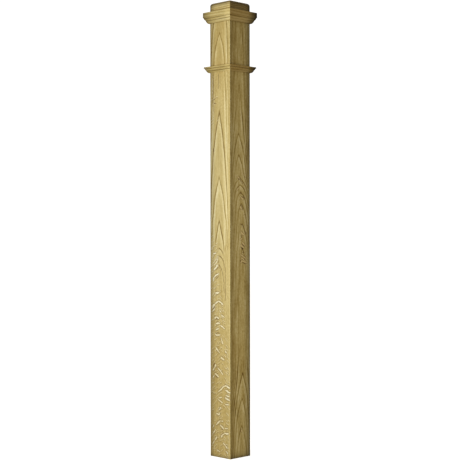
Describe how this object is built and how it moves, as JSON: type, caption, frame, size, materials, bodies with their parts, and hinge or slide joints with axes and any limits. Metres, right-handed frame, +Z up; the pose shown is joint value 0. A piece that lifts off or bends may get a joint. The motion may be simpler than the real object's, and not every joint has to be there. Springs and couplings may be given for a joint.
{
  "type": "box newel post",
  "caption": "Square hollow stair newel post of mitred oak boards, closed by a solid block, with a crown moulding under the block and a neck moulding below it",
  "frame": {"origin": "centre of the foot, on the floor that the post stands on", "axes": "+Z up along the post, -Y out of the front board, +X out of the right board, metres"},
  "size_m": [0.1208, 0.1208, 1.4224],
  "materials": {
    "oak_boards": "planed and sanded, unfinished pale oak, quarter and plain sawn figure",
    "oak_block": "sanded, unfinished oak, end grain on two sides",
    "oak_mouldings": "moulded and sanded, unfinished oak"
  },
  "bodies": {
    "root": {"front_board": "oak_boards", "right_board": "oak_boards", "back_board": "oak_boards", "left_board": "oak_boards", "cap_block": "oak_block", "crown_moulding_front": "oak_mouldings", "crown_moulding_right": "oak_mouldings", "crown_moulding_back": "oak_mouldings", "crown_moulding_left": "oak_mouldings", "neck_moulding_front": "oak_mouldings", "neck_moulding_right": "oak_mouldings", "neck_moulding_back": "oak_mouldings", "neck_moulding_left": "oak_mouldings"}
  },
  "joints": []
}
